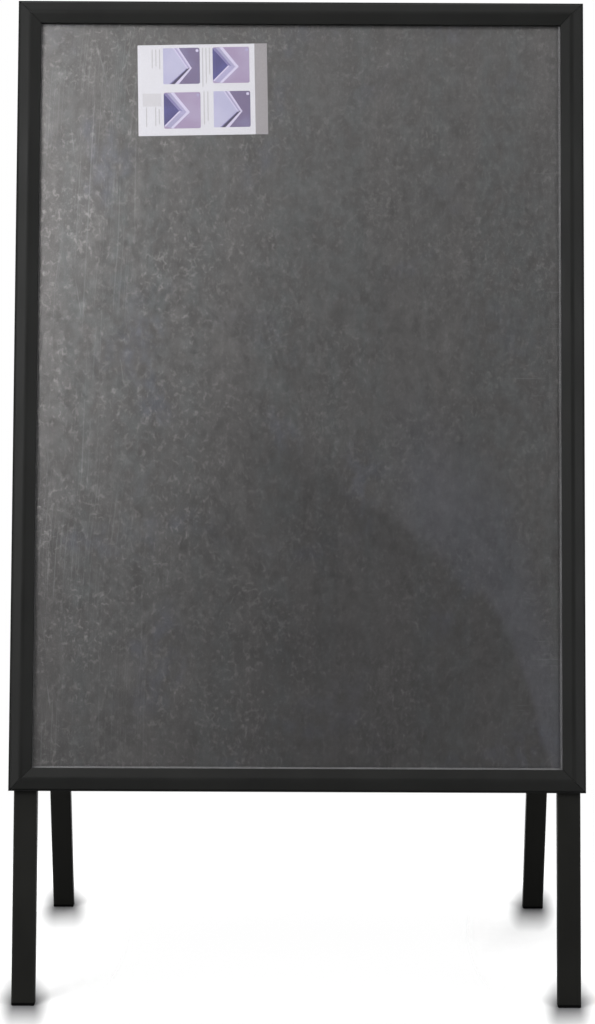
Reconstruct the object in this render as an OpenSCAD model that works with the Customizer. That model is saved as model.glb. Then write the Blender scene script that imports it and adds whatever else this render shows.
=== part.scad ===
// Double-sided A-shaped poster stand with snap frames. Millimetres, Z up.
// The origin is on the floor under the hinge line, and the front side faces -Y.
// A side is drawn upright with the hinge axis at its origin, then leaned into place.
// Left and right are as seen from the front of the stand.

/* [Poster] */
// Width of the poster that each side holds
poster_w = 594; // [420:1:700]
// Height of the poster that each side holds
poster_h = 841; // [594:1:900]
// How far the snap covers overlap the poster's edge
poster_overlap = 10; // [8:0.5:12]

/* [Stand] */
// Lean of each side from the vertical, in degrees
lean = 11; // [8:0.5:15]
// Slanting height from the floor to the frame's top edge
side_h = 1100; // [1020:5:1300]
// Rise of the frame's top edge over the hinge axis
top_rise = 8; // [7:0.5:12]

/* [Legs] */
// Width of a leg tube, seen from the front
leg_w = 25; // [22:0.5:30]
// Depth of a leg tube
leg_d = 15; // [15:0.5:20]
// Wall of a leg tube
leg_wall = 1.2; // [1:0.1:2]
// Outer corner radius of a leg tube
leg_corner_r = 2; // [1:0.1:2.4]
// Distance of a leg from the frame's outer edge
leg_inset = 5.25; // [3:0.25:7]
// Thickness of a foot under its tube
foot_t = 3.2; // [2:0.1:8]
// How far a foot stands out around its tube
foot_rim = 0; // [0:0.1:1]
// Bevel around a foot's sole
foot_bevel = 1; // [0.4:0.1:1.5]
// Length of the plug of a foot or cap inside the tube
plug_h = 20; // [12:1:30]
// Thickness of a cap on the top of a tube
cap_t = 1.5; // [1:0.1:3]

/* [Base rail] */
// Width of a frame rail, seen from the front
rail_w = 25; // [24:0.5:30]
// Thickness of the outer wall
wall_t = 1.2; // [1:0.1:1.6]
// Thickness of the floor under the corner keys
floor_t = 0.9; // [0.8:0.1:1.5]
// Thickness of the bed under the back panel
bed_t = 1.3; // [1:0.1:1.6]
// How far the covers' inner edge reaches over the end of the bed
bed_setback = 0.8; // [0.3:0.1:1.5]
// Width of the groove for the corner keys
groove_w = 7.2; // [6.6:0.1:7.4]
// Reach of each lip over the groove
groove_lip_w = 0.7; // [0.5:0.1:0.8]
// Thickness of each lip over the groove
groove_lip_t = 0.7; // [0.5:0.1:0.9]
// Radius of the bead that a cover swings on
bead_r = 1.5; // [1.3:0.1:1.7]
// Thickness of the neck under the bead
neck_t = 1.1; // [0.9:0.1:1.2]
// Room over the groove's lips under the cover's socket
socket_room = 0.85; // [0.6:0.05:1.2]

/* [Snap cover] */
// Wall of the socket that grips the bead
socket_t = 1; // [0.8:0.1:1.2]
// Thickness of the cover's skin
skin_t = 1.2; // [1:0.1:1.4]
// Tilt of the two flat bands beside the crown, in degrees
band_tilt = 20; // [15:1:22]
// Distance of the crown from the outer edge
crown_s = 13.2; // [12:0.1:14]
// Outer radius of the crown
crown_r = 9; // [5:0.5:10]
// How far a cover swings open, in degrees
cover_swing = 90; // [70:1:92]
// Length of the heel that the leaf springs push
heel_len = 4.6; // [4.2:0.1:4.8]
// Direction of the heel from the bead, in degrees
heel_angle = -20; // [-22:1:-15]
// Thickness of the heel
heel_t = 1.2; // [0.9:0.1:1.3]

/* [Sheets] */
// Thickness of the steel back panel
panel_t = 0.7; // [0.5:0.05:0.8]
// Room for a poster between back panel and clear sheet
pocket_t = 0.45; // [0.4:0.05:0.6]
// Thickness of the clear cover sheet
clear_t = 0.5; // [0.3:0.05:0.6]
// Play between the sheets' edges and the rails' shoulders
sheet_play = 0.3; // [0.2:0.1:1]
// Width of the loose leaflet
leaflet_w = 143; // [105:1:210]
// Height of the loose leaflet
leaflet_h = 102; // [74:1:148]
// Thickness of the loose leaflet
leaflet_t = 0.3; // [0.2:0.05:0.3]
// Distance of the leaflet's middle from the opening's left edge
leaflet_from_left = 179; // [120:1:300]
// Distance of the leaflet's middle from the opening's top edge
leaflet_from_top = 73; // [60:1:300]
// Turn of the leaflet, right end up, in degrees
leaflet_turn = 1.25; // [-5:0.25:5]

/* [Corner keys and leaf springs] */
// Length of a corner key's arm from the frame's outer edge
key_arm = 50; // [35:1:70]
// Thickness of a corner key
key_t = 1.4; // [1.2:0.1:1.6]
// Thickness of a leaf spring
spring_t = 0.5; // [0.4:0.05:0.6]
// Length of a leaf spring along its rail
spring_len = 30; // [20:1:40]
// Spacing of the leaf springs, which sets their number
spring_pitch = 260; // [180:10:320]

/* [Hinge] */
// Radius of a hinge pin
pin_r = 2; // [1.5:0.1:2.2]
// Outer radius of a hinge knuckle
knuckle_r = 3.75; // [3.5:0.05:4.2]
// Thickness of a hinge leaf
leaf_t = 1.5; // [1:0.1:2]
// Width of a hinge leaf
leaf_w = 24; // [21:0.5:25]
// Length of a hinge leaf below the knuckles
leaf_h = 38; // [32:1:50]

/* [Rivets] */
// Radius of the rivets' shanks
rivet_r = 1.6; // [1.2:0.1:1.8]
// Radius of the rivets' heads
rivet_head_r = 2.7; // [2.4:0.1:2.75]
// Height of the rivets' heads
rivet_head_h = 0.9; // [0.6:0.1:1]

/* [Stays] */
// Distance of a stay's pivot below the hinge axis
stay_drop = 320; // [250:5:380]
// Width of a stay
stay_w = 16; // [14:0.5:16]
// Thickness of a stay
stay_t = 3; // [2:0.5:4]
// Radius of a stay's pivot rivet and sliding stud
stud_r = 3; // [2.5:0.1:3.2]
// Radius of the heads of the pivot rivet and stud
stud_head_r = 5.5; // [5:0.1:6]
// Height of those heads
stud_head_h = 1.8; // [1.2:0.1:2.5]
// Thickness of the washer between a stay and its leg
washer_t = 1; // [0.5:0.1:2]

/* [Hidden] */

$fn = 64;

// Sides, hands and frame edges
FRONT = 1;
REAR = -1;
LEFT = -1;
RIGHT = 1;
EDGES = 4;
BOTTOM_EDGE = 0;
LEFT_EDGE = 1;
TOP_EDGE = 2;
RIGHT_EDGE = 3;

// Clearances
skim = 0.05;       // between pieces that lie face to face
running_fit = 0.05; // radial, in a bearing
rub_gap = 0.1;     // between faces that slide past each other
swing_gap = 0.25;  // between a swinging cover and the rail's outer wall
stop_gap = 0.25;   // between the socket's ends and the neck
base_mitre_gap = 0.03;
cover_mitre_gap = 0.2;
lip_gap = 0.15;    // between the cover's lip and the clear sheet
skin_sink = 0.05;  // of the skin's outer face below the socket's
key_play = 0.1;
rivet_play = 0.05;
plug_play = 0.15;
slot_play = 0.25;
eps = 1;           // how far a cut runs past a face

// Frame sizes
outer_w = poster_w + 2 * (rail_w - poster_overlap);
outer_h = poster_h + 2 * (rail_w - poster_overlap);
frame_mid_z = top_rise - outer_h / 2;

// Hinge and legs, in the upright frame of a side
knuckle_gap = 0.4;
leg_back = knuckle_r + knuckle_gap;
leg_mid_y = -leg_back - leg_d / 2;
leg_x = outer_w / 2 - leg_inset - leg_w / 2;
frame_back_y = -leg_back - leg_d - skim;
sole_z = top_rise - side_h;
hinge_z = -leg_mid_y * -sin(lean) - sole_z * cos(lean);

// Base rail profile: s runs inward from the outer edge, d outward from the back
groove_depth = key_t + 2 * skim;
groove_top = floor_t + groove_depth + groove_lip_t;
shoulder_s = rail_w - poster_overlap;
shoulder_w = 1.2;
groove_end = shoulder_s - sheet_play - shoulder_w;
groove_start = groove_end - groove_w;
socket_bore = bead_r + running_fit;
socket_r = socket_bore + socket_t;
bead_s = wall_t + swing_gap + socket_r;
bead_d = groove_top + socket_room + socket_r;
wall_drop = 0.35;
wall_top = bead_d - wall_drop;
knee_rise = 0.1;
neck_angle = atan2(groove_top + knee_rise - bead_d, groove_start - neck_t / 2 - bead_s);
neck_half = neck_t / 2 * [-sin(neck_angle), cos(neck_angle)];
bed_end = rail_w - bed_setback;

// Sheets, as heights over the back of the frame
panel_d = bed_t + skim;
clear_d = panel_d + panel_t + pocket_t;
lip_d = clear_d + clear_t + lip_gap;

// Snap cover profile
lip_t = 1.2;
skin_r = socket_r - skin_sink;
ridge_d = bead_d + skin_r / cos(band_tilt) + (crown_s - bead_s) * tan(band_tilt);
crown_centre = [crown_s, ridge_d - crown_r / cos(band_tilt)];
inner_edge_d = ridge_d - (rail_w - crown_s) * tan(band_tilt);
crown_steps = 16;
neck_half_angle = asin(neck_t / 2 / socket_bore) + stop_gap / socket_bore * 180 / PI;
socket_from = neck_angle + neck_half_angle;
socket_to = 360 + neck_angle - neck_half_angle - cover_swing;

// Leaf springs
spring_gap = 0.3;
spring_tip_angle = heel_angle - 4;
spring_bend_r = 0.9;
spring_steps = 8;

// Stays: pivot, slot and stud all lie at mid-depth of the legs.
// A stay is as long as its pivot is far from the hinge axis, so it turns by exactly
// twice the fold, and its stud slides straight along a line through the hinge axis.
pivot_q = -leg_mid_y;
stay_len = norm([pivot_q, stay_drop]);
pivot_offset = atan(pivot_q / stay_drop);
track_offset = asin(pivot_q / (2 * stay_len));
open_angle = 2 * lean + pivot_offset + track_offset;
shut_angle = pivot_offset + track_offset;
stud_open = 2 * stay_len * cos(open_angle);
stud_shut = 2 * stay_len * cos(shut_angle);
stay_angle = 2 * open_angle - pivot_offset;
stay_x = leg_x - leg_w / 2 - skim - washer_t - rub_gap - stay_t / 2;
tail_r = 4.2;
tail_h = 1.6;
collar_w = 1.5;
rivet_tail_r = 1.4 * rivet_r;
rivet_tail_h = 2;
rivet_tail_taper = 1;

// Placing

module on_side(face) {
  rotate([0, 0, face == FRONT ? 0 : 180])
    translate([0, 0, hinge_z])
      rotate([-lean, 0, 0])
        children();
}

function edge_len(edge) = edge % 2 == 0 ? outer_w : outer_h;
function edge_out(edge) = edge % 2 == 0 ? outer_h / 2 : outer_w / 2;

// The rear side is turned half round, so its own left is the stand's right
function own_edge(face, edge) = edge % 2 == 1 && face == REAR ? EDGES - edge : edge;

// Rail space: x is s, y is d and z runs along the rail from its middle
module on_rail(face, edge) {
  own = own_edge(face, edge);
  on_side(face)
    translate([0, frame_back_y, frame_mid_z])
      rotate([0, 90 * own, 0])
        translate([0, 0, -edge_out(own)])
          rotate([180, 0, 0])
            rotate([0, 90, 0])
              children();
}

module on_leg(face, hand) {
  on_side(face)
    translate([face * hand * leg_x, 0, 0])
      children();
}

// Helpers

module rounded_rect(w, d, r) {
  square([w - 2 * r, d], center = true);
  square([w, d - 2 * r], center = true);
  for (x = [-1, 1], y = [-1, 1])
    translate([x * (w / 2 - r), y * (d / 2 - r)])
      circle(r);
}

module limb(from, to, t) {
  translate(from)
    rotate(atan2(to[1] - from[1], to[0] - from[0]))
      translate([0, -t / 2])
        square([norm(to - from), t]);
}

module bent_strip(points, t) {
  for (i = [1 : len(points) - 1])
    limb(points[i - 1], points[i], t);
  for (p = points)
    translate(p)
      circle(t / 2);
}

module stadium(length, w) {
  translate([0, -w / 2])
    square([length, w]);
  for (x = [0, length])
    translate([x, 0])
      circle(w / 2);
}

function polar(centre, r, angle) = centre + r * [cos(angle), sin(angle)];

function arc(centre, r, from, to, steps) =
  [for (i = [0 : steps]) polar(centre, r, from + (to - from) * i / steps)];

// A rivet along +Z: its head lies on z = 0 and its tail spreads beyond the grip
module rivet(grip) {
  difference() {
    rotate_extrude()
      polygon([
        [0, -rivet_head_h], [rivet_head_r * 0.55, -rivet_head_h],
        [rivet_head_r * 0.9, -rivet_head_h * 0.55], [rivet_head_r, 0],
        [rivet_r, 0], [rivet_r, grip], [rivet_tail_r, grip],
        [rivet_tail_r, grip + rivet_tail_h],
        [rivet_r * 0.8, grip + rivet_tail_h + rivet_tail_taper],
        [0, grip + rivet_tail_h + rivet_tail_taper]
      ]);
    translate([0, 0, -rivet_head_h - eps])
      cylinder(r = rivet_r * 0.5, h = eps + rivet_head_h * 0.6);
  }
}

// Everything lower than a height over the floor, in the upright frame of a side
module below_floor(height) {
  room = 4 * leg_w;
  translate([0, leg_mid_y, sole_z])
    rotate([lean, 0, 0])
      translate([-room / 2, -room / 2, height - room])
        cube(room);
}

// Base rails

// The point at s on an edge of the slanting neck
function neck_edge(side, s) =
  let (from = [bead_s, bead_d] + side * neck_half)
  [s, from[1] + (s - from[0]) * tan(neck_angle)];

module base_profile() {
  bead = [bead_s, bead_d];
  lip_under = groove_top - groove_lip_t;
  polygon([
    [0, 0], [bed_end, 0], [bed_end, bed_t], [groove_end + shoulder_w, bed_t],
    // shoulder and inner lip
    [groove_end + shoulder_w, groove_top], [groove_end - groove_lip_w, groove_top],
    [groove_end - groove_lip_w, lip_under], [groove_end, lip_under], [groove_end, floor_t],
    // outer lip
    [groove_start, floor_t], [groove_start, lip_under], [groove_start + groove_lip_w, lip_under],
    [groove_start + groove_lip_w, groove_top], [groove_start, groove_top],
    // neck
    neck_edge(1, groove_start), bead + neck_half,
    bead - neck_half, neck_edge(-1, groove_start - neck_t),
    // outer wall
    [groove_start - neck_t, floor_t], [wall_t, floor_t], [wall_t, wall_top], [0, wall_top]
  ]);
  translate(bead)
    circle(bead_r);
}

// The room between the two mitre planes of a rail
module mitre_room(length, gap) {
  half = length / 2 - gap;
  reach = rail_w + eps;
  deep = 2 * rail_w;
  translate([0, deep / 2, 0])
    rotate([90, 0, 0])
      linear_extrude(deep)
        polygon([
          [-eps, -half - eps], [reach, -half + reach],
          [reach, half - reach], [-eps, half + eps]
        ]);
}

function spring_count(edge) = max(2, round((edge_len(edge) - 2 * key_arm) / spring_pitch));
function spring_span(edge) = edge_len(edge) - 2 * key_arm;
function spring_places(edge) =
  let (n = spring_count(edge))
  [for (i = [0 : n - 1]) (i - (n - 1) / 2) * spring_span(edge) / n];
// Frame rivets sit between the springs and clear of the keys
function rivet_places(edge) =
  let (n = spring_count(edge), end_room = 6 * rivet_head_r)
  [for (i = [0 : n]) (i - n / 2) * (spring_span(edge) - 2 * end_room) / n];

rivet_s = (groove_start + groove_end) / 2;

module base_rail(face, edge) {
  color("#26282b")
    on_rail(face, edge)
      difference() {
        intersection() {
          linear_extrude(edge_len(edge), center = true)
            base_profile();
          mitre_room(edge_len(edge), base_mitre_gap);
        }
        if (edge == LEFT_EDGE || edge == RIGHT_EDGE)
          for (z = rivet_places(edge))
            translate([rivet_s, -eps, z])
              rotate([-90, 0, 0])
                cylinder(r = rivet_r + rivet_play, h = floor_t + 2 * eps);
      }
}

// Snap covers

module cover_profile() {
  bead = [bead_s, bead_d];
  far = 2 * socket_r;
  difference() {
    union() {
      translate(bead)
        circle(socket_r);
      polygon(concat(
        arc(crown_centre, crown_r - skin_t, 90 + band_tilt, 90 - band_tilt, crown_steps),
        [
          [rail_w - lip_t, inner_edge_d + lip_t * tan(band_tilt) - skin_t / cos(band_tilt)],
          [rail_w - lip_t, lip_d], [rail_w, lip_d], [rail_w, inner_edge_d]
        ],
        arc(crown_centre, crown_r, 90 - band_tilt, 90 + band_tilt, crown_steps),
        [
          polar(bead, skin_r, 90 + band_tilt),
          polar(bead, skin_r - skin_t, 90 + band_tilt)
        ]
      ));
      limb(bead, polar(bead, heel_len, heel_angle), heel_t);
      translate(polar(bead, heel_len, heel_angle))
        circle(heel_t / 2);
    }
    translate(bead)
      circle(socket_bore);
    // the socket's mouth, over the neck's whole swing
    polygon([
      bead, polar(bead, far, socket_to), polar(bead, far, (socket_to + 270) / 2),
      polar(bead, far, 270), polar(bead, far, 360 + socket_from)
    ]);
  }
}

// The room that keeps a cover on its own side of the mitre planes through its whole swing
module swing_room(length) {
  reach = rail_w + eps;
  half = length / 2 - cover_mitre_gap - bead_s;
  intersection() {
    mitre_room(length, cover_mitre_gap);
    rotate([0, 90, 0])
      linear_extrude(2 * reach, center = true)
        polygon([
          [-half, bead_d], [-half - reach, bead_d + reach],
          [half + reach, bead_d + reach], [half, bead_d]
        ]);
  }
  translate([bead_s, bead_d, 0])
    rotate_extrude()
      polygon([[0, -half], [reach, -half + reach], [reach, half - reach], [0, half]]);
}

module snap_cover(face, edge) {
  color("#303236")
    on_rail(face, edge)
      intersection() {
        linear_extrude(edge_len(edge), center = true)
          cover_profile();
        swing_room(edge_len(edge));
      }
}

// Corner keys and leaf springs

module corner_keys(face) {
  w = groove_w - 2 * key_play;
  near = groove_start + key_play;
  color("#8d9094")
    on_side(face)
      translate([0, frame_back_y - floor_t - skim, frame_mid_z])
        rotate([90, 0, 0])
          linear_extrude(key_t)
            for (x = [-1, 1], z = [-1, 1])
              scale([x, z])
                translate([-outer_w / 2, -outer_h / 2])
                  difference() {
                    union() {
                      translate([near, near])
                        square([key_arm - near, w]);
                      translate([near, near])
                        square([w, key_arm - near]);
                    }
                    // the outer point is clipped
                    translate([near, near])
                      rotate(45)
                        square(2 * floor_t, center = true);
                  }
}

module spring_profile() {
  bead = [bead_s, bead_d];
  base_y = floor_t + skim + spring_t / 2;
  tip = polar(bead, heel_len + heel_t / 2 + spring_gap + spring_t / 2, spring_tip_angle);
  bend = [groove_end - groove_lip_w - skim - spring_t / 2 - spring_bend_r, base_y + spring_bend_r];
  lift = atan2(tip[1] - bend[1], tip[0] - bend[0]);
  // the tongue leaves the bend on the tangent that runs to its tip
  away = acos(spring_bend_r / norm(tip - bend));
  bent_strip(
    concat(
      [[groove_start + skim + spring_t / 2, base_y]],
      arc(bend, spring_bend_r, -90, lift - away, spring_steps),
      [tip]
    ),
    spring_t
  );
}

module leaf_springs(face) {
  color("#b9bcc0")
    for (edge = [BOTTOM_EDGE : RIGHT_EDGE])
      on_rail(face, edge)
        for (z = spring_places(edge))
          translate([0, 0, z])
            linear_extrude(spring_len, center = true)
              spring_profile();
}

// Sheets

module sheet(face, d, t) {
  on_side(face)
    translate([0, frame_back_y - d - t / 2, frame_mid_z])
      cube([poster_w - 2 * sheet_play, t, poster_h - 2 * sheet_play], center = true);
}

module back_panel(face) {
  color("#8b8e91")
    sheet(face, panel_d, panel_t);
}

module clear_sheet(face) {
  color("#dfe6ea", 0.25)
    sheet(face, clear_d, clear_t);
}

module leaflet() {
  opening_w = poster_w - 2 * poster_overlap;
  opening_h = poster_h - 2 * poster_overlap;
  d = panel_d + panel_t + (pocket_t - leaflet_t) / 2;
  color("#d9dbe2")
    on_side(FRONT)
      translate([
        leaflet_from_left - opening_w / 2,
        frame_back_y - d - leaflet_t / 2,
        frame_mid_z + opening_h / 2 - leaflet_from_top
      ])
        rotate([0, -leaflet_turn, 0])
          cube([leaflet_w, leaflet_t, leaflet_h], center = true);
}

// Legs, feet and caps

module leg_section(grow) {
  rounded_rect(leg_w + 2 * grow, leg_d + 2 * grow, max(0.4, leg_corner_r + grow));
}

module leg(face, hand) {
  bottom = sole_z - leg_d;
  top = top_rise - cap_t;
  inner = -face * hand;
  color("#242526")
    on_leg(face, hand)
      difference() {
        translate([0, leg_mid_y, bottom])
          linear_extrude(top - bottom)
            difference() {
              leg_section(0);
              leg_section(-leg_wall);
            }
        below_floor(foot_t);
        // hinge rivets through the back wall
        for (p = hinge_rivet_places)
          translate([p[0], -leg_back + eps, p[1]])
            rotate([90, 0, 0])
              cylinder(r = rivet_r + rivet_play, h = leg_wall + 2 * eps);
        // frame rivets through the front wall
        for (z = rivet_places(LEFT_EDGE))
          translate([face * hand * (outer_w / 2 - rivet_s - leg_x), 0, 0])
            translate([0, -leg_back - leg_d - eps, frame_mid_z + z])
              rotate([-90, 0, 0])
                cylinder(r = rivet_r + rivet_play, h = leg_wall + 2 * eps);
        // the stay's pivot or slot through the inner wall
        translate([inner * (leg_w / 2 - leg_wall / 2), 0, 0])
          if (face == FRONT)
            translate([0, leg_mid_y, -stay_drop])
              rotate([0, 90, 0])
                cylinder(r = stud_r + running_fit, h = leg_wall + 2 * eps, center = true);
          else
            rotate([-track_offset, 0, 0])
              translate([0, 0, -stud_open])
                rotate([0, 90, 0])
                  linear_extrude(leg_wall + 2 * eps, center = true)
                    stadium(stud_shut - stud_open, 2 * (stud_r + slot_play));
      }
}

// A finned plug that fills the end of a tube, along +Z from z = 0
module plug(height) {
  core = 1.2;
  fins = 4;
  fin_t = 1;
  linear_extrude(height)
    difference() {
      leg_section(-leg_wall - core);
      leg_section(-leg_wall - 2 * core);
    }
  for (i = [1 : fins])
    translate([0, 0, height * i / (fins + 0.5)])
      linear_extrude(fin_t)
        difference() {
          leg_section(-leg_wall - plug_play);
          leg_section(-leg_wall - 2 * core);
        }
}

// Wedges along the four edges of a sole
module sole_bevels() {
  side = foot_bevel * sqrt(2);
  half_w = leg_w / 2 + foot_rim;
  half_d = (leg_d / 2 + foot_rim) / cos(lean);
  for (x = [-1, 1])
    translate([x * half_w, 0, 0])
      rotate([0, 45, 0])
        cube([side, 4 * leg_d, side], center = true);
  for (y = [-1, 1])
    translate([0, y * half_d, 0])
      rotate([45, 0, 0])
        cube([4 * leg_w, side, side], center = true);
}

module foot(face, hand) {
  color("#0c0c0d")
    on_leg(face, hand) {
      // the sole follows the floor
      difference() {
        translate([0, leg_mid_y, sole_z - leg_d])
          linear_extrude(2 * leg_d)
            leg_section(foot_rim);
        below_floor(0);
        translate([0, leg_mid_y, sole_z])
          rotate([lean, 0, 0]) {
            translate([-2 * leg_w, -2 * leg_w, foot_t - skim])
              cube(4 * leg_w);
            sole_bevels();
          }
      }
      difference() {
        translate([0, leg_mid_y, sole_z - leg_d])
          plug(plug_h + leg_d);
        below_floor(foot_t / 2);
      }
    }
}

module top_caps(face) {
  color("#0c0c0d")
    for (hand = [LEFT, RIGHT])
      on_leg(face, hand)
        translate([0, leg_mid_y, top_rise])
          mirror([0, 0, 1]) {
            linear_extrude(cap_t - skim)
              leg_section(0);
            plug(cap_plug_h);
          }
}

// Rivets that hold the side rails to the legs

module frame_rivets(face) {
  color("#a9abad")
    for (edge = [LEFT_EDGE, RIGHT_EDGE])
      on_rail(face, edge)
        for (z = rivet_places(edge))
          translate([rivet_s, floor_t + skim, z])
            rotate([90, 0, 0])
              rivet(floor_t + leg_wall + 3 * skim);
}

// Hinges

knuckle_len = leaf_w / 3;
leaf_gap = 0.6;
leaf_top = -knuckle_r - leaf_gap;
leaf_y = -leg_back + skim;
leaf_margin = 6;
rivet_row_z = leaf_top - leaf_margin;
hinge_rivet_places = [
  [-leaf_w * 0.25, rivet_row_z], [leaf_w * 0.25, rivet_row_z],
  [0, leaf_top - leaf_h + leaf_margin]
];
// a cap's plug ends over the tails of the hinge rivets
cap_gap = 0.5;
cap_plug_h = min(plug_h, top_rise - rivet_row_z - rivet_tail_r - cap_gap);

function knuckle_spots(face) = face == FRONT ? [-1, 1] : [0];

module hinge_leaf(face, hand) {
  width = knuckle_len - 2 * rub_gap;
  color("#1d1e20")
    on_leg(face, hand)
      difference() {
        union() {
          translate([-leaf_w / 2, leaf_y, leaf_top - leaf_h])
            cube([leaf_w, leaf_t, leaf_h]);
          for (i = knuckle_spots(face))
            translate([i * knuckle_len, 0, 0]) {
              rotate([0, 90, 0])
                cylinder(r = knuckle_r, h = width, center = true);
              translate([-width / 2, leaf_y, leaf_top - eps])
                cube([width, leaf_t, eps - leaf_top]);
            }
        }
        rotate([0, 90, 0])
          cylinder(r = pin_r + running_fit, h = leaf_w + 2 * eps, center = true);
        for (p = hinge_rivet_places)
          translate([p[0], leaf_y - eps, p[1]])
            rotate([-90, 0, 0])
              cylinder(r = rivet_r + rivet_play, h = leaf_t + 2 * eps);
      }
}

module hinge_rivets(face) {
  color("#a9abad")
    for (hand = [LEFT, RIGHT])
      on_leg(face, hand)
        for (p = hinge_rivet_places)
          translate([p[0], leaf_y + leaf_t + skim, p[1]])
            rotate([90, 0, 0])
              rivet(leaf_t + leg_wall + 3 * skim);
}

module hinge_pin(hand) {
  half = leaf_w / 2 + skim;
  head = 1.2;
  head_r = pin_r + 0.8;
  color("#c4c6c8")
    on_leg(FRONT, hand)
      rotate([0, 90, 0]) {
        cylinder(r = pin_r, h = 2 * half, center = true);
        for (end = [-1, 1])
          translate([0, 0, end * (half + head / 2)])
            cylinder(r = head_r, h = head, center = true);
      }
}

// Stays

module on_stay(hand) {
  on_side(FRONT)
    translate([0, leg_mid_y, -stay_drop])
      rotate([stay_angle, 0, 0])
        translate([hand * stay_x, 0, 0])
          children();
}

module stay(hand) {
  color("#1d1e20")
    on_stay(hand)
      rotate([0, 90, 0])
        linear_extrude(stay_t, center = true)
          difference() {
            stadium(stay_len, stay_w);
            circle(stud_r + running_fit);
            translate([stay_len, 0])
              circle(stud_r + running_fit);
          }
}

// Along +Z from the stay's inner face: head, shank through the stay, gap and wall, tail
module headed_stud(collar_r) {
  into = stay_t + rub_gap + washer_t + skim + leg_wall;
  translate([0, 0, -rub_gap - stud_head_h])
    cylinder(r = stud_head_r, h = stud_head_h);
  translate([0, 0, -rub_gap - eps / 2])
    cylinder(r = stud_r, h = into + 2 * rub_gap + eps / 2 + tail_h / 2);
  translate([0, 0, into + rub_gap])
    cylinder(r = tail_r, h = tail_h);
  if (collar_r > stud_r)
    translate([0, 0, stay_t + skim])
      cylinder(r = collar_r, h = washer_t);
}

// Points +Z outward to the leg, from the stay's inner face
module from_inner_face(hand) {
  translate([-hand * stay_t / 2, 0, 0])
    rotate([0, hand * 90, 0])
      children();
}

module stay_stud(hand) {
  color("#c4c6c8")
    on_stay(hand)
      translate([0, 0, -stay_len])
        from_inner_face(hand)
          headed_stud(stud_r + collar_w);
}

module stay_pivot_rivets() {
  color("#c4c6c8")
    for (hand = [LEFT, RIGHT])
      on_stay(hand)
        from_inner_face(hand)
          headed_stud(0);
}

module stay_washers() {
  color("#e6e6e2")
    for (hand = [LEFT, RIGHT])
      on_stay(hand)
        from_inner_face(hand)
          translate([0, 0, stay_t + rub_gap])
            difference() {
              cylinder(r = stay_w / 2, h = washer_t);
              translate([0, 0, -eps])
                cylinder(r = stud_r + rivet_play, h = washer_t + 2 * eps);
            }
}

base_rail(FRONT, LEFT_EDGE);  // front_base_left
base_rail(FRONT, RIGHT_EDGE);  // front_base_right
base_rail(FRONT, TOP_EDGE);  // front_base_top
base_rail(FRONT, BOTTOM_EDGE);  // front_base_bottom
snap_cover(FRONT, LEFT_EDGE);  // front_cover_left
snap_cover(FRONT, RIGHT_EDGE);  // front_cover_right
snap_cover(FRONT, TOP_EDGE);  // front_cover_top
snap_cover(FRONT, BOTTOM_EDGE);  // front_cover_bottom
corner_keys(FRONT);  // front_corner_keys
leaf_springs(FRONT);  // front_leaf_springs
back_panel(FRONT);  // front_back_panel
clear_sheet(FRONT);  // front_clear_sheet
leaflet();  // front_leaflet
leg(FRONT, LEFT);  // front_leg_left
leg(FRONT, RIGHT);  // front_leg_right
foot(FRONT, LEFT);  // front_foot_left
foot(FRONT, RIGHT);  // front_foot_right
top_caps(FRONT);  // front_top_caps
frame_rivets(FRONT);  // front_frame_rivets
hinge_leaf(FRONT, LEFT);  // front_hinge_leaf_left
hinge_leaf(FRONT, RIGHT);  // front_hinge_leaf_right
hinge_rivets(FRONT);  // front_hinge_rivets
base_rail(REAR, LEFT_EDGE);  // rear_base_left
base_rail(REAR, RIGHT_EDGE);  // rear_base_right
base_rail(REAR, TOP_EDGE);  // rear_base_top
base_rail(REAR, BOTTOM_EDGE);  // rear_base_bottom
snap_cover(REAR, LEFT_EDGE);  // rear_cover_left
snap_cover(REAR, RIGHT_EDGE);  // rear_cover_right
snap_cover(REAR, TOP_EDGE);  // rear_cover_top
snap_cover(REAR, BOTTOM_EDGE);  // rear_cover_bottom
corner_keys(REAR);  // rear_corner_keys
leaf_springs(REAR);  // rear_leaf_springs
back_panel(REAR);  // rear_back_panel
clear_sheet(REAR);  // rear_clear_sheet
leg(REAR, LEFT);  // rear_leg_left
leg(REAR, RIGHT);  // rear_leg_right
foot(REAR, LEFT);  // rear_foot_left
foot(REAR, RIGHT);  // rear_foot_right
top_caps(REAR);  // rear_top_caps
frame_rivets(REAR);  // rear_frame_rivets
hinge_leaf(REAR, LEFT);  // rear_hinge_leaf_left
hinge_leaf(REAR, RIGHT);  // rear_hinge_leaf_right
hinge_rivets(REAR);  // rear_hinge_rivets
hinge_pin(LEFT);  // hinge_pin_left
hinge_pin(RIGHT);  // hinge_pin_right
stay(LEFT);  // stay_left
stay(RIGHT);  // stay_right
stay_stud(LEFT);  // stay_stud_left
stay_stud(RIGHT);  // stay_stud_right
stay_washers();
stay_pivot_rivets();
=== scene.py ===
import math

import bmesh
import bpy
from mathutils import Matrix, Vector


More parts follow.
